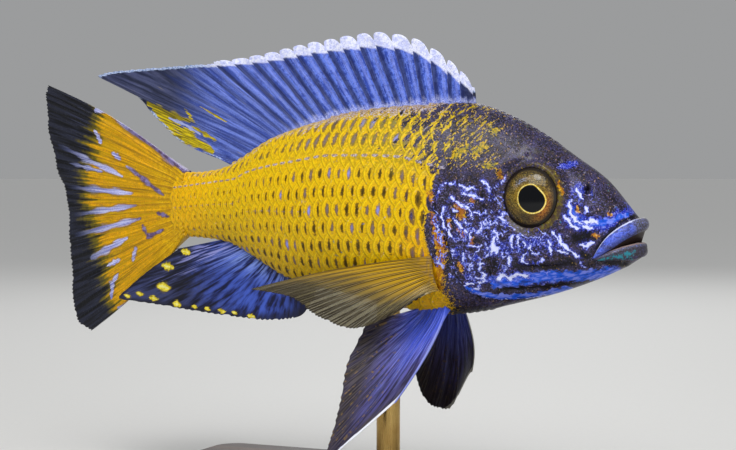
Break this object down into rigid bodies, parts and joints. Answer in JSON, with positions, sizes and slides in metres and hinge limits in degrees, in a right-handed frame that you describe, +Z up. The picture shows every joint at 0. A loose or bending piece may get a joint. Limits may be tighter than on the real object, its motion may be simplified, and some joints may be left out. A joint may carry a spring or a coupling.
{
  "type": "peacock cichlid display model",
  "caption": "Life-size still model of a male peacock cichlid with spread fins, held over a flat stand by a short rod.",
  "frame": {"origin": "centre of the flat underside of the stand's base", "axes": "+X towards the fish's head, +Y towards its left side, +Z up"},
  "size_m": [0.1369, 0.0518, 0.0934],
  "materials": {
    "head_skin": "wet skin, dark slate with blue and lilac marks",
    "lip_skin": "smooth lilac-blue lip, greyer in front",
    "jaw_skin": "smooth azure and slate skin",
    "gill_cover_skin": "dark slate with orange and pale blue marks",
    "eye": "olive-gold speckled iris under a clear cornea",
    "body_scales": "golden yellow scales with dark centres",
    "dorsal_fin": "cobalt blue membrane with a white edge",
    "anal_fin": "slate blue membrane with yellow spots",
    "caudal_fin": "orange-yellow membrane with a dark slate margin",
    "pectoral_fin": "thin yellow-brown membrane with fine rays",
    "pelvic_fin": "blue-violet membrane with a white leading edge",
    "stand_brass": "satin brass rod",
    "stand_wood": "dark satin walnut base"
  },
  "bodies": {
    "root": {"head": "head_skin", "upper_lip": "lip_skin", "lower_jaw": "jaw_skin", "gill_cover_left": "gill_cover_skin", "gill_cover_right": "gill_cover_skin", "eye_left": "eye", "eye_right": "eye", "trunk": "body_scales", "tail_stalk": "body_scales", "dorsal_fin": "dorsal_fin", "anal_fin": "anal_fin", "caudal_fin": "caudal_fin", "pectoral_fin_left": "pectoral_fin", "pectoral_fin_right": "pectoral_fin", "pelvic_fin_left": "pelvic_fin", "pelvic_fin_right": "pelvic_fin", "stand_rod": "stand_brass", "stand_base": "stand_wood"}
  },
  "joints": []
}
